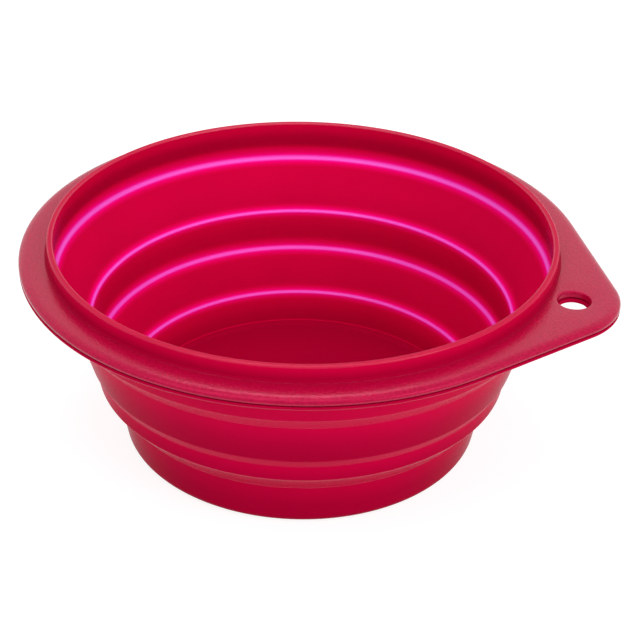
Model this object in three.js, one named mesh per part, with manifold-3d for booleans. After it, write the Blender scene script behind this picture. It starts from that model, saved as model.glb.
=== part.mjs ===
// A collapsible silicone travel bowl with a stiff rim frame and a hang tab.
//
// The bowl is one silicone moulding that folds along four level lines. Between the lines it is made of
// three stiff tiers (the collar with its lip, the middle band and the base cup) and two webs that join
// them. Pressing the rim down turns each web inside out, so the tiers nest into a flat stack. A stiff
// frame with a hang tab lies on the silicone flange round the collar and keeps the rim round.
//
// Millimetres, +Z up. The origin is the middle of the underside of the base, and +X runs to the tab.

import * as THREE from 'three';
import { mergeVertices } from 'three/addons/utils/BufferGeometryUtils.js';
import Module from 'manifold-3d';

const wasm = await Module();
wasm.setup();

// Heights of the tiers, stacked from the table up
const BASE_TIER = 12.2;
const LOWER_WEB = 10.15;
const MIDDLE_TIER = 11.5;
const UPPER_WEB = 11.6;
const COLLAR_TIER = 4.05;
const UNDER_FLANGE = 0.8;
const FRAME_THICKNESS = 1.7;
const LIP_HEIGHT = 4.0;
const FLOOR_THICKNESS = 2.6;

// Inside radii of the stiff tiers
const FLOOR_RADIUS = 43.2;
const BASE_MOUTH_RADIUS = 45.4;
const MIDDLE_FOOT_RADIUS = 52.2;
const MIDDLE_MOUTH_RADIUS = 52.9;
const COLLAR_FOOT_RADIUS = 62.0;
const LIP_MOUTH_RADIUS = 61.35;

// Walls, measured level from the inside face
const BASE_WALL = 1.8;
const LOWER_SHOULDER_WALL = 2.3;
const MIDDLE_FOOT_WALL = 0.75;
const MIDDLE_MOUTH_WALL = 3.8;
const UPPER_FACET_WALL = 2.3;
const UPPER_SHOULDER_WALL = 3.0;
const COLLAR_WALL = 1.1;
const LIP_WALL = 1.6;

// The folds: a small ledge inside at each line, facets outside on the webs, a groove under the middle band
const LEDGE_WIDTH = 0.8;
const LEDGE_DROP = 0.6;
const LOWER_SHOULDER_HEIGHT = 4.9;
const UPPER_FACET_HEIGHT = 2.55;
const UPPER_SHOULDER_HEIGHT = 6.95;
const GROOVE_HEIGHT = 2.0;
const GROOVE_DEPTH = 1.05;

// The rim frame's width round the collar, the hang hole, the walls between it, the collar and the tip,
// and the broad round end of the tab
const RIM_WIDTH = 6.4;
const HANG_HOLE_RADIUS = 4.0;
const HOLE_TO_COLLAR = 1.45;
const HOLE_TO_TIP = 6.8;
const TAB_END_RADIUS = 19.0;

// Roundings
const LIP_ROUND = 0.8;
const FLOOR_ROUND = 1.6;
const FOOT_ROUND = 3.0;
const SHOULDER_ROUND = 1.0;
const FRAME_EDGE_ROUND = 0.6;

// Clearances
const FOLD_GAP = 0.3;
const RIM_SEAM = 0.3;
const FRAME_FIT = 0.3;

// Steps round a full turn, along a rounded corner, and round the tab and its hole
const TURN_STEPS = 64;
const ROUND_STEPS = 3;
const TAB_STEPS = 10;
const HOLE_STEPS = 24;

// The largest share of a side that a rounded corner takes, and the distance at which vertices merge
const ROUND_SHARE = 0.45;
const MERGE_DISTANCE = 1e-4;

// Heights of the fold lines and of the rim
const lowerFoldFoot = BASE_TIER;
const lowerFoldTop = lowerFoldFoot + LOWER_WEB;
const upperFoldFoot = lowerFoldTop + MIDDLE_TIER;
const upperFoldTop = upperFoldFoot + UPPER_WEB;
const flangeUnderside = upperFoldTop + COLLAR_TIER;
const flangeTop = flangeUnderside + UNDER_FLANGE;
const frameUnderside = flangeTop + RIM_SEAM;
const frameTop = frameUnderside + FRAME_THICKNESS;
const lipTop = frameTop + LIP_HEIGHT;

// Inside radii at the ends of the webs, one ledge away from the tiers
const lowerWebFoot = BASE_MOUTH_RADIUS + LEDGE_WIDTH;
const lowerWebTop = MIDDLE_FOOT_RADIUS - LEDGE_WIDTH;
const upperWebFoot = MIDDLE_MOUTH_RADIUS + LEDGE_WIDTH;
const upperWebTop = COLLAR_FOOT_RADIUS - LEDGE_WIDTH;

// Outside radii of the tiers
const baseFootOuter = FLOOR_RADIUS + BASE_WALL;
const baseMouthOuter = BASE_MOUTH_RADIUS + BASE_WALL;
const middleFootOuter = MIDDLE_FOOT_RADIUS + MIDDLE_FOOT_WALL;
const middleMouthOuter = MIDDLE_MOUTH_RADIUS + MIDDLE_MOUTH_WALL;
const collarFootOuter = COLLAR_FOOT_RADIUS + COLLAR_WALL;
const lipOuter = LIP_MOUTH_RADIUS + LIP_WALL;

// The collar leans: its inside runs straight from the lip's mouth to the first ledge
const collarInner = (z) =>
  THREE.MathUtils.mapLinear(z, lipTop, upperFoldTop + LEDGE_DROP, LIP_MOUTH_RADIUS, COLLAR_FOOT_RADIUS);
const collarOuter = (z) => collarInner(z) + LIP_WALL;
const frameOpening = Math.max(collarOuter(frameUnderside), collarOuter(frameTop)) + FRAME_FIT;

// The rim's plan: the ring, the hang hole, and the round end of the tab, whose centre lies inside the bowl
const rimRadius = frameOpening + RIM_WIDTH;
const holeDistance = frameOpening + HOLE_TO_COLLAR + HANG_HOLE_RADIUS;
const tabTip = holeDistance + HANG_HOLE_RADIUS + HOLE_TO_TIP;
const tabDistance = tabTip - TAB_END_RADIUS;

const silicone = new THREE.MeshStandardMaterial({ color: 0xc4102f, roughness: 0.42, metalness: 0 });
const grainedRim = new THREE.MeshStandardMaterial({ color: 0xb8203c, roughness: 0.62, metalness: 0 });

// The point a given length from one corner towards the next, at most nearly half way along that side
function stepTowards(from, to, length) {
  const side = from.distanceTo(to);
  return from.clone().lerp(to, Math.min(length / side, ROUND_SHARE));
}

// Corners are [radius, height] or [radius, height, length rounded off]. The outline closes on itself.
function closedProfile(corners) {
  const points = corners.map(([radius, height]) => new THREE.Vector2(radius, height));
  const outline = new THREE.Path();
  corners.forEach(([, , round], i) => {
    const corner = points[i];
    if (!round) {
      if (i === 0) outline.moveTo(corner.x, corner.y);
      else outline.lineTo(corner.x, corner.y);
      return;
    }
    const start = stepTowards(corner, points.at(i - 1), round);
    const end = stepTowards(corner, points[(i + 1) % points.length], round);
    if (i === 0) outline.moveTo(start.x, start.y);
    else outline.lineTo(start.x, start.y);
    outline.quadraticCurveTo(corner.x, corner.y, end.x, end.y);
  });
  outline.closePath();
  return outline.getPoints(ROUND_STEPS);
}

// A profile turned about +Z
function turned(corners) {
  const geometry = new THREE.LatheGeometry(closedProfile(corners), TURN_STEPS);
  return geometry.rotateX(Math.PI / 2);
}

function arcPoints(centreX, radius, from, to, steps) {
  const points = [];
  for (let i = 0; i <= steps; i += 1) {
    const angle = THREE.MathUtils.lerp(from, to, i / steps);
    points.push(new THREE.Vector2(centreX + radius * Math.cos(angle), radius * Math.sin(angle)));
  }
  return points;
}

function circlePath(centreX, radius, steps) {
  return new THREE.Path(arcPoints(centreX, radius, 0, 2 * Math.PI, steps).slice(0, -1));
}

// A ring whose edge runs out on two tangents to the round end of the tab
function rimPlan(opening) {
  const tangent = Math.acos((rimRadius - TAB_END_RADIUS) / tabDistance);
  const ring = arcPoints(0, rimRadius, tangent, 2 * Math.PI - tangent, TURN_STEPS);
  const tab = arcPoints(tabDistance, TAB_END_RADIUS, -tangent, tangent, TAB_STEPS);
  const plan = new THREE.Shape([...ring, ...tab]);
  plan.holes.push(circlePath(0, opening, TURN_STEPS));
  plan.holes.push(circlePath(holeDistance, HANG_HOLE_RADIUS, HOLE_STEPS));
  return plan;
}

function solidOf(geometry) {
  const bare = geometry.clone();
  bare.deleteAttribute('normal');
  bare.deleteAttribute('uv');
  const merged = mergeVertices(bare, MERGE_DISTANCE);
  return new wasm.Manifold(new wasm.Mesh({
    numProp: 3,
    vertProperties: new Float32Array(merged.attributes.position.array),
    triVerts: new Uint32Array(merged.index.array),
  }));
}

function geometryOf(solid) {
  const mesh = solid.getMesh();
  const geometry = new THREE.BufferGeometry();
  geometry.setAttribute('position', new THREE.BufferAttribute(mesh.vertProperties, 3));
  geometry.setIndex(new THREE.BufferAttribute(mesh.triVerts, 1));
  geometry.computeVertexNormals();
  return geometry;
}

// The cup that stands on the table: a flat floor and a wall that leans out to the first fold line
function baseCup() {
  const top = lowerFoldFoot - FOLD_GAP / 2;
  return turned([
    [0, 0],
    [baseFootOuter, 0, FOOT_ROUND],
    [baseMouthOuter, top],
    [lowerWebFoot, top],
    [BASE_MOUTH_RADIUS, top - LEDGE_DROP],
    [FLOOR_RADIUS, FLOOR_THICKNESS, FLOOR_ROUND],
    [0, FLOOR_THICKNESS],
  ]);
}

// The lower web: thin at both fold lines, with a shoulder and a steeper facet outside
function lowerFoldWeb() {
  const foot = lowerFoldFoot + FOLD_GAP / 2;
  const top = lowerFoldTop - FOLD_GAP / 2;
  const share = LOWER_SHOULDER_HEIGHT / LOWER_WEB;
  const shoulder = THREE.MathUtils.lerp(lowerWebFoot, lowerWebTop, share) + LOWER_SHOULDER_WALL;
  return turned([
    [lowerWebFoot, foot],
    [baseMouthOuter, foot],
    [shoulder, lowerFoldFoot + LOWER_SHOULDER_HEIGHT, SHOULDER_ROUND],
    [middleFootOuter, top],
    [lowerWebTop, top],
  ]);
}

// The middle band: a stiff ring, thick at its mouth, with a ledge inside at each end and a groove below
function middleBand() {
  const foot = lowerFoldTop + FOLD_GAP / 2;
  const top = upperFoldFoot - FOLD_GAP / 2;
  return turned([
    [lowerWebTop, foot],
    [middleFootOuter, foot],
    [middleFootOuter + GROOVE_DEPTH, foot + GROOVE_HEIGHT, SHOULDER_ROUND],
    [middleMouthOuter, top],
    [upperWebFoot, top],
    [MIDDLE_MOUTH_RADIUS, top - LEDGE_DROP],
    [MIDDLE_FOOT_RADIUS, foot + LEDGE_DROP],
  ]);
}

// The upper web: like the lower one, with its facet standing above the middle band's mouth
function upperFoldWeb() {
  const foot = upperFoldFoot + FOLD_GAP / 2;
  const top = upperFoldTop - FOLD_GAP / 2;
  const inner = (height) => THREE.MathUtils.lerp(upperWebFoot, upperWebTop, height / UPPER_WEB);
  const facet = inner(UPPER_FACET_HEIGHT) + UPPER_FACET_WALL;
  const shoulder = inner(UPPER_SHOULDER_HEIGHT) + UPPER_SHOULDER_WALL;
  return turned([
    [upperWebFoot, foot],
    [middleMouthOuter, foot],
    [facet, upperFoldFoot + UPPER_FACET_HEIGHT, SHOULDER_ROUND],
    [shoulder, upperFoldFoot + UPPER_SHOULDER_HEIGHT, SHOULDER_ROUND],
    [collarFootOuter, top],
    [upperWebTop, top],
  ]);
}

// The collar with its lip, and the thin silicone flange that carries the rim frame and its tab
function siliconeCollar() {
  const foot = upperFoldTop + FOLD_GAP / 2;
  const wall = turned([
    [upperWebTop, foot],
    [collarFootOuter, foot],
    [collarFootOuter, flangeTop],
    [collarOuter(flangeTop), flangeTop],
    [lipOuter, lipTop, LIP_ROUND],
    [LIP_MOUTH_RADIUS, lipTop, LIP_ROUND],
    [COLLAR_FOOT_RADIUS, foot + LEDGE_DROP],
  ]);
  const rootRadius = (collarInner(flangeUnderside) + collarFootOuter) / 2;
  const flange = new THREE.ExtrudeGeometry(rimPlan(rootRadius), { depth: UNDER_FLANGE, bevelEnabled: false });
  flange.translate(0, 0, flangeUnderside);
  return geometryOf(solidOf(wall).add(solidOf(flange)));
}

// The stiff frame on the flange: one flat ring with the tab, its edges rounded all round
function rimFrame() {
  const geometry = new THREE.ExtrudeGeometry(rimPlan(frameOpening), {
    depth: FRAME_THICKNESS - 2 * FRAME_EDGE_ROUND,
    bevelThickness: FRAME_EDGE_ROUND,
    bevelSize: FRAME_EDGE_ROUND,
    bevelOffset: -FRAME_EDGE_ROUND,
    bevelSegments: ROUND_STEPS,
  });
  return geometry.translate(0, 0, frameUnderside + FRAME_EDGE_ROUND);
}

const bowl = new THREE.Group();

function addPiece(name, geometry, material) {
  const piece = new THREE.Mesh(geometry, material);
  piece.name = name;
  bowl.add(piece);
}

addPiece('base_cup', baseCup(), silicone);
addPiece('lower_fold_web', lowerFoldWeb(), silicone);
addPiece('middle_band', middleBand(), silicone);
addPiece('upper_fold_web', upperFoldWeb(), silicone);
addPiece('silicone_collar', siliconeCollar(), silicone);
addPiece('rim_frame', rimFrame(), grainedRim);

export default bowl;
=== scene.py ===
# %% [markdown]
# # A folding silicone travel bowl
# The bowl is one red silicone moulding with a stiff, grained frame lying on its rim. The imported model
# gives the pieces, the bodies they move on and the two folds. This lesson dresses that model: it turns
# the smooth walls, shapes the rim, and gives each its finish. Everything is in metres, in one frame.

# %% Load the frame
import math

import bmesh
import bpy
from mathutils import Matrix, Vector


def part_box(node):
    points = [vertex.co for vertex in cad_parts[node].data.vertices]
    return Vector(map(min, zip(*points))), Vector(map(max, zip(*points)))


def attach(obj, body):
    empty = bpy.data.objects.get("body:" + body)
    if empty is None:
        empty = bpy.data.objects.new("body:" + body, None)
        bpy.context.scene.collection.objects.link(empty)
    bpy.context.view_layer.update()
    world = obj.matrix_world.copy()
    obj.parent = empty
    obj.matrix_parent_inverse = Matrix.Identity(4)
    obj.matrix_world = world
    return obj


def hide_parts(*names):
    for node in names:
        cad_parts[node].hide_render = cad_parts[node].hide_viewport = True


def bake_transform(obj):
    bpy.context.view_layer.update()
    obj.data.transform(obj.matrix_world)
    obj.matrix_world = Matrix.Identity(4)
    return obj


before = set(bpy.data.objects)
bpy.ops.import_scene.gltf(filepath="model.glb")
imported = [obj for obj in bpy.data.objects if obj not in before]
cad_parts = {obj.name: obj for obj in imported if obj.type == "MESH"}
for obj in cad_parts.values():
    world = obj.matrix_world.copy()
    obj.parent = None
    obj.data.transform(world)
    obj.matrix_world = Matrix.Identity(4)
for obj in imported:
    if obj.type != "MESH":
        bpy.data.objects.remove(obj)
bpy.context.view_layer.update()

MM = 0.001

# %% [markdown]
# ## The camera
# The photograph looks down into the bowl at about 28 degrees with a long lens, and the hang tab points to
# the right and a little towards the viewer. The camera is set on a sphere about the middle of the mouth.
# It is then turned so that this point lands on its own pixel, and rolled by the one degree that the
# picture leans. A turned camera needs no lens shift, so the other views stay centred.

# %% Place the camera
IMAGE_SIZE = 640
FOCAL_PIXELS = 1800
MOUTH_PIXEL = (302.1, 228.7)
SENSOR_WIDTH = 36.0
NEAREST_SEEN = 0.01
AIM_HEIGHT = 56.5 * MM
CAMERA_AZIMUTH = math.radians(21.65)
CAMERA_ELEVATION = math.radians(28.31)
CAMERA_ROLL = math.radians(0.97)
CAMERA_DISTANCE = 444.7 * MM

mouth_centre = Vector((0, 0, AIM_HEIGHT))
tip_back = Matrix.Rotation(math.pi / 2 - CAMERA_ELEVATION, 3, "X")
turn_to_view = Matrix.Rotation(CAMERA_AZIMUTH, 3, "Z") @ tip_back
half_image = IMAGE_SIZE / 2
ray = Vector((MOUTH_PIXEL[0] - half_image, half_image - MOUTH_PIXEL[1], -FOCAL_PIXELS))
aim = ray.rotation_difference(Vector((0, 0, -1))).to_matrix()
roll = Matrix.Rotation(CAMERA_ROLL, 3, "Z")
eye = mouth_centre + turn_to_view @ Vector((0, 0, CAMERA_DISTANCE))

bpy.ops.object.select_all(action="DESELECT")
bpy.ops.object.camera_add(location=eye)
camera = bpy.context.object
camera.name = "photo_camera"
camera.rotation_euler = (turn_to_view @ aim @ roll).to_euler()
camera.data.sensor_width = SENSOR_WIDTH
camera.data.lens = SENSOR_WIDTH * FOCAL_PIXELS / IMAGE_SIZE
camera.data.clip_start = NEAREST_SEEN
bpy.context.scene.camera = camera
print("camera", [round(c, 4) for c in eye], "lens", round(camera.data.lens, 2))

# %% [markdown]
# ## Fold lines and rim heights
# The silicone folds along four level lines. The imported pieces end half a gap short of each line, so a line
# lies midway between two neighbours. The rim's height and reach come from the frame piece's box.


lip_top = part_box("silicone_collar")[1].z
frame_low, frame_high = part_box("rim_frame")
rim_radius = frame_high.y
tab_tip = frame_high.x

# %% [markdown]
# ## Turning a wall
# A moulded round wall is a profile swept round an axis. By hand one would draw half of the section as a
# chain of extruded vertices and spin it. The section's corners are listed with the radius that rounds
# them, and a small function swaps each corner for its arc. Long straight stretches get extra points, so
# that the webs can bend when the bowl is pressed flat.

# %% Outline with rounded corners
ARC_STEP = math.radians(7)
LONGEST_STEP = 0.5 * MM


def corner_arc(before, corner, after, radius):
    """The points of the arc that rounds one corner of an outline."""
    back = (before - corner).normalized()
    ahead = (after - corner).normalized()
    turn = math.pi - back.angle(ahead)
    centre = corner + (back + ahead).normalized() * radius / math.cos(turn / 2)
    spoke = corner + back * radius * math.tan(turn / 2) - centre
    signed_turn = math.copysign(turn, ahead.x * back.y - ahead.y * back.x)
    steps = max(2, math.ceil(turn / ARC_STEP))
    return [centre + Matrix.Rotation(signed_turn * i / steps, 2) @ spoke for i in range(steps + 1)]


def rounded_outline(corners):
    """Corners are (radius, height, rounding) in millimetres. The outline ends at its last corner."""
    places = [Vector((r, z)) * MM for r, z, _ in corners]
    points = []
    for i, (place, (_, _, rounding)) in enumerate(zip(places, corners)):
        inner = 0 < i < len(corners) - 1
        rounded = inner and rounding
        arc = corner_arc(places[i - 1], place, places[i + 1], rounding * MM) if rounded else [place]
        if points:
            start = points[-1]
            gap = arc[0] - start
            pieces = max(1, math.ceil(gap.length / LONGEST_STEP))
            points += [start + gap * k / pieces for k in range(1, pieces)]
        points += arc
    return points


# %% Turn an outline into a wall
TURN_STEPS = 192
MERGE_DISTANCE = 0.002 * MM
SMOOTH_ANGLE = math.radians(35)


def start_vertex(name, place):
    """A new mesh in edit mode that holds one selected vertex."""
    bpy.ops.object.select_all(action="DESELECT")
    bpy.ops.mesh.primitive_plane_add(size=MM, location=place)
    piece = bpy.context.object
    piece.name = name
    piece.data.name = name
    bpy.ops.object.transform_apply(location=True, rotation=True, scale=True)
    bpy.ops.object.mode_set(mode="EDIT")
    bpy.ops.mesh.select_mode(type="VERT")
    bpy.ops.mesh.select_all(action="SELECT")
    bpy.ops.mesh.merge(type="CENTER")
    return piece


def extrude_along(points):
    """Extrudes the selected vertex from point to point."""
    for here, there in zip(points, points[1:]):
        bpy.ops.mesh.extrude_region_move(TRANSFORM_OT_translate={"value": there - here})


def close_mesh(piece):
    """Merges the seams, points the faces outwards and leaves edit mode with smooth shading."""
    bpy.ops.mesh.select_all(action="SELECT")
    bpy.ops.mesh.remove_doubles(threshold=MERGE_DISTANCE)
    bpy.ops.mesh.normals_make_consistent(inside=False)
    bpy.ops.object.mode_set(mode="OBJECT")
    bpy.ops.object.shade_smooth_by_angle(angle=SMOOTH_ANGLE)
    print(piece.name, len(piece.data.polygons), "faces")


def turned_wall(name, corners, closed):
    """Spins the outline round +Z. A closed outline runs back to its first corner."""
    outline = rounded_outline(corners + corners[:1] if closed else corners)
    chain = [Vector((p.x, 0, p.y)) for p in outline]
    piece = start_vertex(name, chain[0])
    extrude_along(chain)
    bpy.ops.mesh.select_all(action="SELECT")
    bpy.ops.mesh.spin(steps=TURN_STEPS, angle=2 * math.pi, center=(0, 0, 0), axis=(0, 0, 1))
    close_mesh(piece)
    return piece


# %% [markdown]
# ## The two walls
# The real wall is one skin from the lip to the floor. A piece can bend across one fold only, so the skin
# is made in two: from the lip down to just below the middle band, and from there to the floor. They meet
# in a level cut on a straight stretch of the lower web, where both sides face the same way, so the cut
# doesn't show. Inside, every fold line has a small ledge, a hollow above it and a tight round below it.
# Outside, three narrow facets lean out further than the walls between them. Where the collar comes up
# through the frame, a small fillet runs out over the frame's inner edge and hides the gap.

# %% Sizes of the skin, in millimetres
LIP_ROUND = 0.5
HOLLOW_ROUND = 2.0
TIGHT_HOLLOW = 1.2
LEDGE_ROUND = 0.7
FACET_ROUND = 0.7
SHOULDER_ROUND = 2.5
FOOT_ROUND = 2.8
FLOOR_ROUND = 1.6

WALL_CUT = 21.3
CUT_OUTER, CUT_INNER = 52.49, 50.84
LIP_OUTER, LIP_INNER = 62.95, 61.35
COLLAR_OUTER = 63.1
FLOOR_TOP = 2.6

# Heights of each outer facet, from its foot to its head
LOWER_FACET = (12.1, 17.73)
GROOVE_FACET = (22.05, 24.55)
UPPER_FACET = (36.32, 40.68)

# The fillet round the collar, which stands a hair above the frame
FILLET_REACH = 63.7
FILLET_ROUND = 0.6
FILLET_EDGE_ROUND = 0.05
FILLET_LIFT = 0.03
FILLET_HEIGHT = 0.2
FILLET_LEAN = 0.1

lip_level = lip_top / MM
seat_level = frame_high.z / MM
print("lip at", round(lip_level, 2), "mm, frame's top at", round(seat_level, 2), "mm")

# %% Section of the skin: radius, height and rounding of each corner
upper_outside = [
    (CUT_OUTER, WALL_CUT, 0),
    (52.6, GROOVE_FACET[0], FACET_ROUND),
    (54.0, GROOVE_FACET[1], FACET_ROUND),
    (57.56, UPPER_FACET[0], FACET_ROUND),
    (61.1, UPPER_FACET[1], FACET_ROUND),
    (COLLAR_OUTER, 45.45, SHOULDER_ROUND),
    (COLLAR_OUTER, seat_level - FILLET_HEIGHT, 0),
    (FILLET_REACH, seat_level + FILLET_LIFT, FILLET_EDGE_ROUND),
    (COLLAR_OUTER - FILLET_LEAN, seat_level + FILLET_HEIGHT, FILLET_ROUND),
]
lip = [
    (LIP_OUTER, lip_level, LIP_ROUND),
    (LIP_INNER, lip_level, LIP_ROUND),
]
upper_inside = [
    (62.1, 46.3, HOLLOW_ROUND),
    (61.1, 45.5, LEDGE_ROUND),
    (53.8, 33.95, HOLLOW_ROUND),
    (52.9, 33.2, LEDGE_ROUND),
    (52.25, 23.1, TIGHT_HOLLOW),
    (51.4, 22.4, LEDGE_ROUND),
    (CUT_INNER, WALL_CUT, 0),
]
lower_outside = [
    (0, 0, 0),
    (45.0, 0, FOOT_ROUND),
    (47.2, LOWER_FACET[0], FACET_ROUND),
    (51.97, LOWER_FACET[1], FACET_ROUND),
    (CUT_OUTER, WALL_CUT, 0),
]
lower_inside = [
    (CUT_INNER, WALL_CUT, 0),
    (46.3, 12.3, HOLLOW_ROUND),
    (45.35, 11.55, LEDGE_ROUND),
    (43.2, FLOOR_TOP, FLOOR_ROUND),
    (0, FLOOR_TOP, 0),
]
print("corners above the cut:", len(upper_outside + lip + upper_inside))
print("corners below the cut:", len(lower_outside + lower_inside))

# %% [markdown]
# ## Marks on the skin
# Light comes through the silicone. The glow along the fold lines is painted into the colour, and painted
# shade deepens the red where little shines through: on the floor, behind the rim, low on each tier and at
# the collar's foot. The lip, the folds, the facets and the collar's fillet are also polished. Scattering
# light inside the skin would be the physical way, but it is slow and would show the cut between the two
# walls. Instead, three marks on the points say how strong the painted glow, the painted shade and the
# polish are, and the finish reads them. They stay with the skin when it folds.

# %% Painted glow of the folds
EDGE_SHARE = 0.7
# A thin pale line round the floor's edge is a painted highlight, carried by the same mark.
FLOOR_LINE = 3.82 * MM
FLOOR_LINE_REACH = 0.1 * MM
FLOOR_LINE_PAINTED_HIGHLIGHT = 0.35


def glow_line(hollow, edge, above, below):
    """The line on a ledge where the glow is painted, nearer its edge than its hollow, and how far the
    painted glow reaches.
    """
    radius = (1 - EDGE_SHARE) * hollow[0] + EDGE_SHARE * edge[0]
    height = (1 - EDGE_SHARE) * hollow[1] + EDGE_SHARE * edge[1]
    return radius * MM, height * MM, above * MM, below * MM


folds = [
    glow_line(upper_inside[0], upper_inside[1], above=4.2, below=2.9),
    glow_line(upper_inside[2], upper_inside[3], above=2.5, below=2.4),
    glow_line(upper_inside[4], upper_inside[5], above=3.3, below=2.7),
    glow_line(lower_inside[1], lower_inside[2], above=2.5, below=2.4),
]


def fold_glow(radius, height):
    """How strong the painted glow is: one on a fold line, falling to nought at the end of its reach."""
    glow = 0.0
    for fold_radius, fold_height, above, below in folds:
        reach = above if height > fold_height else below
        distance = math.hypot(radius - fold_radius, height - fold_height)
        glow = max(glow, 1 - distance / reach)
    on_floor_line = abs(height - FLOOR_LINE) < FLOOR_LINE_REACH
    return max(glow, FLOOR_LINE_PAINTED_HIGHLIGHT) if on_floor_line else glow


print("glowing lines, mm:", [(round(r / MM, 2), round(z / MM, 2)) for r, z, _, _ in folds])

# %% Painted shade of the walls, by height in millimetres
# Painted shade: how far the red deepens inside and outside, most on the floor, behind the rim and at the
# collar's foot.
INNER_SHADE = [
    (2.6, 0.8), (3.4, 0.65), (6.5, 0.45), (8.0, 0.25), (10.0, 0.0),
    (14.5, 0.25), (20.0, 0.1), (21.0, 0.0),
    (26.5, 0.35), (28.5, 0.3), (31.5, 0.0),
    (36.0, 0.2), (40.0, 0.05), (44.0, 0.0),
    (48.5, 0.65), (51.0, 0.72), (52.2, 0.65), (54.5, 0.1), (55.5, 0.0), (56.3, 0.3),
]
OUTER_SHADE = [
    (0.0, 0.6), (6.0, 0.6), (11.5, 0.25), (17.2, 0.25),
    (18.2, 0.5), (21.5, 0.15), (24.0, 0.2),
    (25.0, 0.65), (30.0, 0.45), (35.5, 0.0), (41.0, 0.1), (49.5, 0.0),
    (52.3, 0.85), (53.2, 0.6), (55.6, 0.0), (56.3, 0.3),
]


def value_at(table, height):
    """Reads a list of (height, value) pairs, straight between them."""
    for (low, low_value), (high, high_value) in zip(table, table[1:]):
        if low <= height <= high:
            return low_value + (high_value - low_value) * (height - low) / (high - low)
    return table[-1][1] if height > table[-1][0] else table[0][1]


print("deepest shade:", max(shade for _, shade in INNER_SHADE + OUTER_SHADE))

# %% Polish of the skin
LIP_EDGE = 0.45 * MM
LIP_INNER_GLOSS = 0.75
LIP_TOP_GLOSS = 0.25
LIP_OUTER_GLOSS = 0.45
FILLET_GLOSS = 0.5
FILLET_GLOSS_RADIUS = (FILLET_REACH - 3 * FILLET_EDGE_ROUND) * MM
FOLD_GLOSS = 0.2
FOLD_CORE = 0.75
FACET_GLOSS = [(LOWER_FACET, 0.65), (GROOVE_FACET, 0.10), (UPPER_FACET, 0.17)]


def lip_gloss(radius, height):
    """The polish of the lip: bright on both edges of its top, weaker between them."""
    if height < lip_top - LIP_EDGE:
        return 0.0
    if radius < LIP_INNER * MM + LIP_EDGE:
        return LIP_INNER_GLOSS
    return LIP_OUTER_GLOSS if radius > LIP_OUTER * MM - LIP_EDGE else LIP_TOP_GLOSS


def facet_gloss(height):
    """The polish of the outer facet at a height, nought on the walls between."""
    return max(gloss if foot * MM < height < head * MM else 0.0 for (foot, head), gloss in FACET_GLOSS)


def skin_gloss(radius, height, inside, glow):
    """The strongest polish that a point of the skin has from its lip, fillet, facet or fold."""
    on_facet = 0.0 if inside else facet_gloss(height)
    on_fillet = FILLET_GLOSS if radius > FILLET_GLOSS_RADIUS else 0.0
    on_fold = FOLD_GLOSS * max(0.0, glow - FOLD_CORE) / (1 - FOLD_CORE)
    return max(lip_gloss(radius, height), on_facet, on_fillet, on_fold)


# %% Mark a wall
def add_mark(piece, name, values):
    """Stores one number on each point."""
    marks = piece.data.attributes.new(name, "FLOAT", "POINT")
    for mark, value in zip(marks.data, values):
        mark.value = value
    print(piece.name, name, "up to", round(max(values), 2))


def mark_skin(piece):
    """Marks the painted glow, the painted shade and the gloss of a wall."""
    glows, shades, glosses = [], [], []
    for vert in piece.data.vertices:
        height = vert.co.z
        radius = math.hypot(vert.co.x, vert.co.y)
        outward = vert.co.x * vert.normal.x + vert.co.y * vert.normal.y
        on_floor = abs(height - FLOOR_TOP * MM) < MERGE_DISTANCE
        inside = outward < 0 or on_floor
        glow = fold_glow(radius, height) if inside else 0.0
        glows.append(glow)
        shades.append(value_at(INNER_SHADE if inside else OUTER_SHADE, height / MM))
        glosses.append(skin_gloss(radius, height, inside, glow))
    add_mark(piece, "fold", glows)
    add_mark(piece, "shade", shades)
    add_mark(piece, "gloss", glosses)


# %% Turn the upper wall
upper_wall = turned_wall("upper_wall", upper_outside + lip + upper_inside, closed=True)
mark_skin(upper_wall)
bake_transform(upper_wall)
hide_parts("silicone_collar", "upper_fold_web", "middle_band")

# %% Turn the lower wall
lower_wall = turned_wall("lower_wall", lower_outside + lower_inside, closed=False)
mark_skin(lower_wall)
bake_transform(lower_wall)
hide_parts("lower_fold_web", "base_cup")

# %% [markdown]
# ## The rim
# The rim is two plates of the same plan: the stiff frame on top, and the thin silicone flange that it lies
# on, with a dark seam between them. The plan is a ring whose edge runs straight to the broad round end of
# the tab. A bevel would round both rims of a plate alike, but the frame's top is rounded far more widely
# than its underside. So each edge is drawn once as a loop and extruded upwards level by level. After each
# step the ring's points shrink about the bowl's axis and the tab's points about the centre of its end,
# which insets the whole edge by the same amount. The flat faces are then filled between the loops.

# %% Plan of the rim
HANG_HOLE = 4.0 * MM
HOLE_TO_TIP = 6.8 * MM
TAB_END_RADIUS = 19.0 * MM
RING_STEPS = 160
TAB_STEPS = 40

axis_centre = Vector((0, 0, 0))
hole_centre = Vector((tab_tip - HOLE_TO_TIP - HANG_HOLE, 0, 0))
tab_centre = Vector((tab_tip - TAB_END_RADIUS, 0, 0))
tangent = math.acos((rim_radius - TAB_END_RADIUS) / tab_centre.x)


def arc_points(centre, radius, start, end, steps, height):
    """Points along an arc in plan, both ends included."""
    angles = [start + (end - start) * i / steps for i in range(steps + 1)]
    return [centre + Vector((radius * math.cos(a), radius * math.sin(a), height)) for a in angles]


def rim_plan(inset, height):
    """The rim's outer edge: most of a ring, then the round end of the tab, drawn in by the inset."""
    ring = arc_points(axis_centre, rim_radius - inset, tangent, 2 * math.pi - tangent, RING_STEPS, height)
    return ring + arc_points(tab_centre, TAB_END_RADIUS - inset, -tangent, tangent, TAB_STEPS, height)


print("tab's end meets the ring at", round(math.degrees(tangent), 1), "degrees")

# %% Raise an edge level by level
EDGE_STEPS = 8
ANGLE_SLACK = 1e-4


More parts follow.
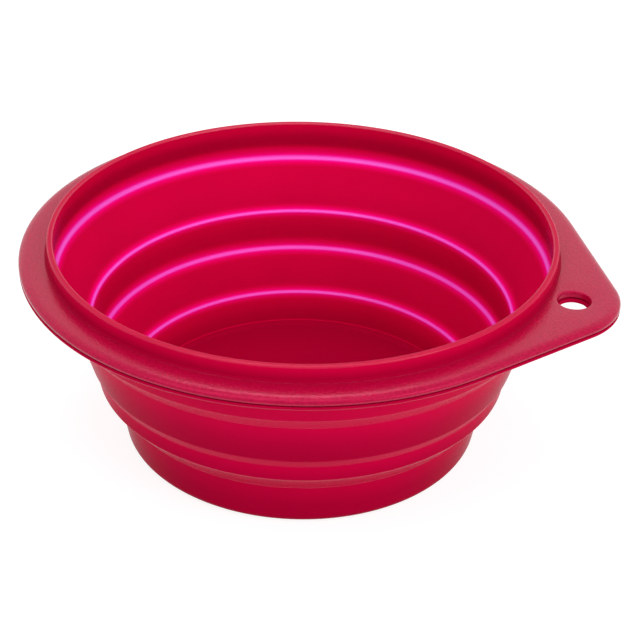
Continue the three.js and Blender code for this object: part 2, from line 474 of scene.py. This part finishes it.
def edge_levels(height, thickness, reach, drop, foot):
    """(inset, height) of each loop of an edge, from the underside's small round to the top's wide one."""
    quarter = [math.pi / 2 * i / EDGE_STEPS for i in range(EDGE_STEPS + 1)]
    lower = [(foot * (1 - math.sin(a)), height + foot * (1 - math.cos(a))) for a in quarter]
    top = height + thickness
    return lower + [(reach * (1 - math.cos(a)), top - drop * (1 - math.sin(a))) for a in quarter]


def away_from(centre, co):
    """The level direction from a centre to a point."""
    return Vector((co.x - centre.x, co.y - centre.y, 0)).normalized()


def out_of_rim(co):
    """The way out of the rim's edge at a point: from the centre of the tab's end, else from the axis."""
    on_tab_end = away_from(tab_centre, co).x > math.cos(tangent) - ANGLE_SLACK
    return away_from(tab_centre if on_tab_end else axis_centre, co)


def raise_edge(piece, levels, out_of_plate):
    """Extrudes the selected loop through its levels and draws it into the plate at each."""
    for (inset, height), (next_inset, next_height) in zip(levels, levels[1:]):
        bpy.ops.mesh.extrude_edges_move(TRANSFORM_OT_translate={"value": (0, 0, next_height - height)})
        mesh = bmesh.from_edit_mesh(piece.data)
        for vert in [v for v in mesh.verts if v.select]:
            vert.co -= out_of_plate(vert.co) * (next_inset - inset)
        bmesh.update_edit_mesh(piece.data)


# %% Plates of the rim
OPENING_STEPS = 192
HOLE_STEPS = 48


def select_level(piece, height):
    """Selects the points at one height, and nothing else."""
    mesh = bmesh.from_edit_mesh(piece.data)
    for vert in mesh.verts:
        vert.select = abs(vert.co.z - height) < MERGE_DISTANCE
    mesh.select_flush_mode()
    bmesh.update_edit_mesh(piece.data)


def add_hole(piece, centre, radius, steps, levels):
    """Lays a circle round a hole and raises its wall."""
    inset, height = levels[0]
    bpy.ops.mesh.select_all(action="DESELECT")
    place = (centre.x, centre.y, height)
    bpy.ops.mesh.primitive_circle_add(vertices=steps, radius=radius + inset, location=place)
    raise_edge(piece, levels, lambda co: -away_from(centre, co))


def rim_plate(name, edge_inset, opening, hole, outer_levels, opening_levels, hole_levels):
    """One plate of the rim, with the bowl's opening and the hang hole."""
    first_inset, underside = outer_levels[0]
    plan = rim_plan(edge_inset + first_inset, underside)
    piece = start_vertex(name, plan[0])
    extrude_along(plan + plan[:1])
    bpy.ops.mesh.select_all(action="SELECT")
    bpy.ops.mesh.remove_doubles(threshold=MERGE_DISTANCE)
    raise_edge(piece, outer_levels, out_of_rim)
    add_hole(piece, axis_centre, opening, OPENING_STEPS, opening_levels)
    add_hole(piece, hole_centre, hole, HOLE_STEPS, hole_levels)
    for height in (underside, outer_levels[-1][1]):
        select_level(piece, height)
        bpy.ops.mesh.fill(use_beauty=True)
    close_mesh(piece)
    return piece


# %% Polish of a plate's edge
HOLE_MARGIN = 1.0 * MM


def mark_edge(piece, underside, height, gloss):
    """Marks the gloss of a plate up to a height above its underside, but not round the hang hole."""
    glosses = []
    for vert in piece.data.vertices:
        from_hole = math.hypot(vert.co.x - hole_centre.x, vert.co.y)
        on_edge = vert.co.z - underside < height and from_hole > HANG_HOLE + HOLE_MARGIN
        glosses.append(gloss if on_edge else 0.0)
    add_mark(piece, "gloss", glosses)


# %% Stiff frame on the rim
FRAME_OPENING = 63.45 * MM
frame_height = frame_high.z - frame_low.z
rim_frame = rim_plate(
    "rim_frame_skin", 0, FRAME_OPENING, HANG_HOLE,
    edge_levels(frame_low.z, frame_height, reach=2.3 * MM, drop=1.2 * MM, foot=0.35 * MM),
    edge_levels(frame_low.z, frame_height, reach=0.2 * MM, drop=0.2 * MM, foot=0.15 * MM),
    edge_levels(frame_low.z, frame_height, reach=0.55 * MM, drop=0.45 * MM, foot=0.15 * MM),
)
mark_edge(rim_frame, frame_low.z, height=0.6 * MM, gloss=0.3)
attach(rim_frame, "rim")
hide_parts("rim_frame")

# %% Silicone flange under the frame
SEAM = 0.3 * MM
FLANGE_THICKNESS = 0.8 * MM
FLANGE_INSET = 0.05 * MM
FLANGE_ROOT = 62.6 * MM
FLANGE_HOLE = 3.45 * MM
# Painted shade over the whole flange.
FLANGE_SHADE = 0.5
flange_low = frame_low.z - SEAM - FLANGE_THICKNESS
flange_hole = edge_levels(flange_low, FLANGE_THICKNESS, reach=0.15 * MM, drop=0.15 * MM, foot=0.2 * MM)
rim_flange = rim_plate(
    "rim_flange", FLANGE_INSET, FLANGE_ROOT, FLANGE_HOLE,
    edge_levels(flange_low, FLANGE_THICKNESS, reach=0.35 * MM, drop=0.35 * MM, foot=0.3 * MM),
    flange_hole,
    flange_hole,
)
mark_edge(rim_flange, flange_low, height=0.3 * MM, gloss=0.8)
# Painted shade darkens the whole flange.
add_mark(rim_flange, "shade", [FLANGE_SHADE] * len(rim_flange.data.vertices))
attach(rim_flange, "rim")
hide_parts("silicone_collar")

# %% [markdown]
# ## Finishes
# Both pieces are the same crimson. The moulding has a smooth satin skin with a faint unevenness, and its
# highlights take the colour of the silicone. An image wrapped round the bowl could give its colours, but
# it would hold one light for good. So the colour is mixed from the marks, which carry painted light: it
# deepens with the painted shade and turns pink towards a fold line with the painted glow, and the polish
# is a thin clear coat. The frame has a fine moulded grain that scatters the light, so seen at a low angle
# it looks paler and greyer than the walls.

# %% Nodes for a finish
NOISE_LOW, NOISE_HIGH = 0.3, 0.7
MIX_FACTOR, MIX_FIRST, MIX_SECOND = 0, 6, 7
MIX_RESULT = 2


def new_finish(name):
    """A material with its principled shader and the object's own coordinates."""
    material = bpy.data.materials.new(name)
    material.use_nodes = True
    nodes = material.node_tree.nodes
    shader = nodes["Principled BSDF"]
    coordinates = nodes.new("ShaderNodeTexCoord")
    return material, shader, coordinates.outputs["Object"]


def add_noise(material, place, scale, detail):
    """A noise pattern on the object, with scale in bumps per metre."""
    noise = material.node_tree.nodes.new("ShaderNodeTexNoise")
    noise.inputs["Scale"].default_value = scale
    noise.inputs["Detail"].default_value = detail
    material.node_tree.links.new(place, noise.inputs["Vector"])
    return noise.outputs["Fac"]


def add_colours(material, factor, dark, light):
    """A ramp from a dark to a light colour over the middle of a noise."""
    ramp = material.node_tree.nodes.new("ShaderNodeValToRGB")
    stops = ramp.color_ramp.elements
    for stop, position, colour in zip(stops, (NOISE_LOW, NOISE_HIGH), (dark, light)):
        stop.position = position
        stop.color = (*colour, 1)
    material.node_tree.links.new(factor, ramp.inputs["Fac"])
    return ramp.outputs["Color"]


def add_range(material, factor, low, high):
    """Maps the middle of a noise to a range of values."""
    spread = material.node_tree.nodes.new("ShaderNodeMapRange")
    spread.inputs["From Min"].default_value = NOISE_LOW
    spread.inputs["From Max"].default_value = NOISE_HIGH
    spread.inputs["To Min"].default_value = low
    spread.inputs["To Max"].default_value = high
    material.node_tree.links.new(factor, spread.inputs["Value"])
    return spread.outputs["Result"]


def add_grain(material, shader, height, strength, depth):
    """Bumps the surface by a noise."""
    bump = material.node_tree.nodes.new("ShaderNodeBump")
    bump.inputs["Strength"].default_value = strength
    bump.inputs["Distance"].default_value = depth
    material.node_tree.links.new(height, bump.inputs["Height"])
    material.node_tree.links.new(bump.outputs["Normal"], shader.inputs["Normal"])


def read_mark(material, name):
    """One of the marks on the points."""
    mark = material.node_tree.nodes.new("ShaderNodeAttribute")
    mark.attribute_name = name
    return mark.outputs["Fac"]


def add_mix(material, factor, first, second):
    """Blends two colours. The second may be a plain colour."""
    mix = material.node_tree.nodes.new("ShaderNodeMix")
    mix.data_type = "RGBA"
    material.node_tree.links.new(factor, mix.inputs[MIX_FACTOR])
    material.node_tree.links.new(first, mix.inputs[MIX_FIRST])
    if isinstance(second, tuple):
        mix.inputs[MIX_SECOND].default_value = (*second, 1)
    else:
        material.node_tree.links.new(second, mix.inputs[MIX_SECOND])
    return mix.outputs[MIX_RESULT]


# %% Colours of the painted glow along a fold
RED_SILICONE = (0.69, 0.001, 0.058)
# Painted glow along the fold lines, with a paler painted highlight at the core.
PAINTED_GLOW_STOPS = [
    (0.00, RED_SILICONE),
    (0.20, (0.72, 0.001, 0.062)),
    (0.42, (0.84, 0.001, 0.100)),
    (0.62, (0.97, 0.001, 0.170)),
    (0.73, (1.00, 0.002, 0.240)),
    (0.80, (1.00, 0.012, 0.400)),
    (0.88, (1.00, 0.080, 0.660)),
    (1.00, (1.00, 0.145, 0.780)),
]
PAINTED_GLOW_COVER = 0.3


def painted_glow_colours(material, fold):
    """The painted glow: pinker colours towards a fold line, paler at its core, and how much they cover."""
    ramp_node = material.node_tree.nodes.new("ShaderNodeValToRGB")
    ramp = ramp_node.color_ramp
    ramp.elements.remove(ramp.elements[1])
    for i, (position, colour) in enumerate(PAINTED_GLOW_STOPS):
        stop = ramp.elements[0] if i == 0 else ramp.elements.new(position)
        stop.position = position
        stop.color = (*colour, 1)
    cover = material.node_tree.nodes.new("ShaderNodeMapRange")
    cover.inputs["From Max"].default_value = PAINTED_GLOW_COVER
    material.node_tree.links.new(fold, ramp_node.inputs["Fac"])
    material.node_tree.links.new(fold, cover.inputs["Value"])
    return ramp_node.outputs["Color"], cover.outputs["Result"]


# %% Silicone finish
SILICONE_DARK = (0.67, 0.001, 0.055)
SILICONE_LIGHT = (0.73, 0.001, 0.061)
# The colour that the painted shade mixes in.
SILICONE_SHADE = (0.34, 0.0005, 0.026)
SILICONE_TINT = (1.0, 0.0, 0.3)
SILICONE_IOR = 1.05
POLISH_ROUGHNESS = 0.2


def polish(material, shader):
    """A thin clear coat as strong as the gloss mark."""
    material.node_tree.links.new(read_mark(material, "gloss"), shader.inputs["Coat Weight"])
    shader.inputs["Coat Roughness"].default_value = POLISH_ROUGHNESS


def silicone_finish():
    """Smooth satin silicone that reads the three marks: painted glow, painted shade and gloss."""
    material, shader, place = new_finish("satin_crimson_silicone")
    link = material.node_tree.links.new
    clouds = add_noise(material, place, scale=45, detail=3)
    grain = add_noise(material, place, scale=1500, detail=2)
    red = add_colours(material, clouds, SILICONE_DARK, SILICONE_LIGHT)
    # Painted shade deepens the red, and the painted glow turns it pink towards the fold lines.
    shaded = add_mix(material, read_mark(material, "shade"), red, SILICONE_SHADE)
    painted_pink, cover = painted_glow_colours(material, read_mark(material, "fold"))
    link(add_mix(material, cover, shaded, painted_pink), shader.inputs["Base Color"])
    link(add_range(material, grain, 0.22, 0.28), shader.inputs["Roughness"])
    add_grain(material, shader, grain, strength=0.008, depth=0.1 * MM)
    polish(material, shader)
    shader.inputs["IOR"].default_value = SILICONE_IOR
    shader.inputs["Specular Tint"].default_value = (*SILICONE_TINT, 1)
    return material


silicone = silicone_finish()
for piece in (upper_wall, lower_wall, rim_flange):
    piece.data.materials.append(silicone)
    print(piece.name, "is", silicone.name)

# %% Grained finish
FRAME_DARK = (0.38, 0.001, 0.034)
FRAME_LIGHT = (0.53, 0.004, 0.054)
FRAME_TINT = (1.0, 0.1, 0.25)
FRAME_IOR = 1.64


def grained_finish():
    """Stiff plastic with a fine moulded grain."""
    material, shader, place = new_finish("grained_crimson_frame")
    link = material.node_tree.links.new
    clouds = add_noise(material, place, scale=60, detail=3)
    grain = add_noise(material, place, scale=1700, detail=3)
    link(add_colours(material, grain, FRAME_DARK, FRAME_LIGHT), shader.inputs["Base Color"])
    link(add_range(material, clouds, 0.14, 0.20), shader.inputs["Roughness"])
    add_grain(material, shader, grain, strength=0.8, depth=0.1 * MM)
    polish(material, shader)
    shader.inputs["IOR"].default_value = FRAME_IOR
    shader.inputs["Specular Tint"].default_value = (*FRAME_TINT, 1)
    return material


grained = grained_finish()
rim_frame.data.materials.append(grained)
print(rim_frame.name, "is", grained.name)

# %% [markdown]
# ## Stage and light
# The bowl stands on a white floor in a white room that is brightest along the horizon, as in a light tent
# with an open top, with four soft lamps. Stronger lamps could make the background white too, but they
# would bleach the red. So the camera and the reflections see white, and the light that reaches the
# surfaces stays at a plain level.

# %% Floor
FLOOR_SIZE = 6.0
FLOOR_WHITE = 0.8
FLOOR_SEEN = 0.35
FLOOR_GLOW = 0.83


def sees_white(tree):
    """One where a ray comes from the camera, a reflection or a clear body, else nought."""
    path = tree.nodes.new("ShaderNodeLightPath")
    either = tree.nodes.new("ShaderNodeMath")
    either.operation = "MAXIMUM"
    all_three = tree.nodes.new("ShaderNodeMath")
    all_three.operation = "MAXIMUM"
    tree.links.new(path.outputs["Is Camera Ray"], either.inputs[0])
    tree.links.new(path.outputs["Is Glossy Ray"], either.inputs[1])
    tree.links.new(either.outputs[0], all_three.inputs[0])
    tree.links.new(path.outputs["Is Transmission Ray"], all_three.inputs[1])
    return all_three.outputs[0]


bpy.ops.object.select_all(action="DESELECT")
bpy.ops.mesh.primitive_plane_add(size=FLOOR_SIZE)
floor = bpy.context.object
floor.name = "floor"
floor_material = bpy.data.materials.new("white_floor")
floor_material.use_nodes = True
floor_tree = floor_material.node_tree
floor_shader = floor_tree.nodes["Principled BSDF"]
floor_shader.inputs["Roughness"].default_value = 1.0
floor_shader.inputs["Specular IOR Level"].default_value = 0.0
floor_shader.inputs["Emission Color"].default_value = (1, 1, 1, 1)
seen = sees_white(floor_tree)
for lit_value, seen_value, socket in (
    (FLOOR_WHITE, FLOOR_SEEN, "Base Color"),
    (0, FLOOR_GLOW, "Emission Strength"),
):
    choice = floor_tree.nodes.new("ShaderNodeMapRange")
    choice.inputs["To Min"].default_value = lit_value
    choice.inputs["To Max"].default_value = seen_value
    floor_tree.links.new(seen, choice.inputs["Value"])
    floor_tree.links.new(choice.outputs["Result"], floor_shader.inputs[socket])
floor.data.materials.append(floor_material)
print("floor", FLOOR_SIZE, "m wide")

# %% White room
HORIZON_LIGHT = 0.80
ZENITH_LIGHT = 0.32
SEEN_LIGHT = 1.0

world = bpy.data.worlds.new("white_room")
bpy.context.scene.world = world
world.use_nodes = True
room = world.node_tree.nodes["Background"]
room.inputs["Color"].default_value = (1, 1, 1, 1)
room_link = world.node_tree.links.new
direction = world.node_tree.nodes.new("ShaderNodeTexCoord")
split = world.node_tree.nodes.new("ShaderNodeSeparateXYZ")
fade = world.node_tree.nodes.new("ShaderNodeMapRange")
fade.inputs["To Min"].default_value = HORIZON_LIGHT
fade.inputs["To Max"].default_value = ZENITH_LIGHT
room_strength = world.node_tree.nodes.new("ShaderNodeMapRange")
room_strength.inputs["To Max"].default_value = SEEN_LIGHT
room_link(direction.outputs["Generated"], split.inputs["Vector"])
room_link(split.outputs["Z"], fade.inputs["Value"])
room_link(fade.outputs["Result"], room_strength.inputs["To Min"])
room_link(sees_white(world.node_tree), room_strength.inputs["Value"])
room_link(room_strength.outputs["Result"], room.inputs["Strength"])
print("room light from", HORIZON_LIGHT, "at the horizon to", ZENITH_LIGHT, "overhead")

# %% Lamps
CAMERA_SIDE = math.degrees(CAMERA_AZIMUTH)


def add_softbox(name, azimuth, elevation, distance, size, power):
    """A round lamp aimed at the bowl, placed by its angles in degrees, from the camera's side."""
    tip = Matrix.Rotation(math.radians(90 - elevation), 3, "X")
    turn = Matrix.Rotation(math.radians(CAMERA_SIDE + azimuth), 3, "Z") @ tip
    bpy.ops.object.light_add(type="AREA", location=turn @ Vector((0, 0, distance)))
    lamp = bpy.context.object
    lamp.name = name
    lamp.rotation_euler = turn.to_euler()
    lamp.data.shape = "DISK"
    lamp.data.size = size
    lamp.data.energy = power
    print(name, power, "W")


add_softbox("overhead_softbox", azimuth=0, elevation=78, distance=0.9, size=0.6, power=1.4)
add_softbox("back_softbox", azimuth=180, elevation=62, distance=1.0, size=0.4, power=1.2)
add_softbox("left_softbox", azimuth=-50, elevation=55, distance=1.2, size=0.8, power=2.4)
add_softbox("right_softbox", azimuth=50, elevation=35, distance=1.2, size=0.8, power=4.2)

# %% [markdown]
# ## Finish
# The picture is shown without a film look, so that a colour renders as it is written.

# %% Colour and the end
bpy.context.scene.view_settings.view_transform = "Standard"
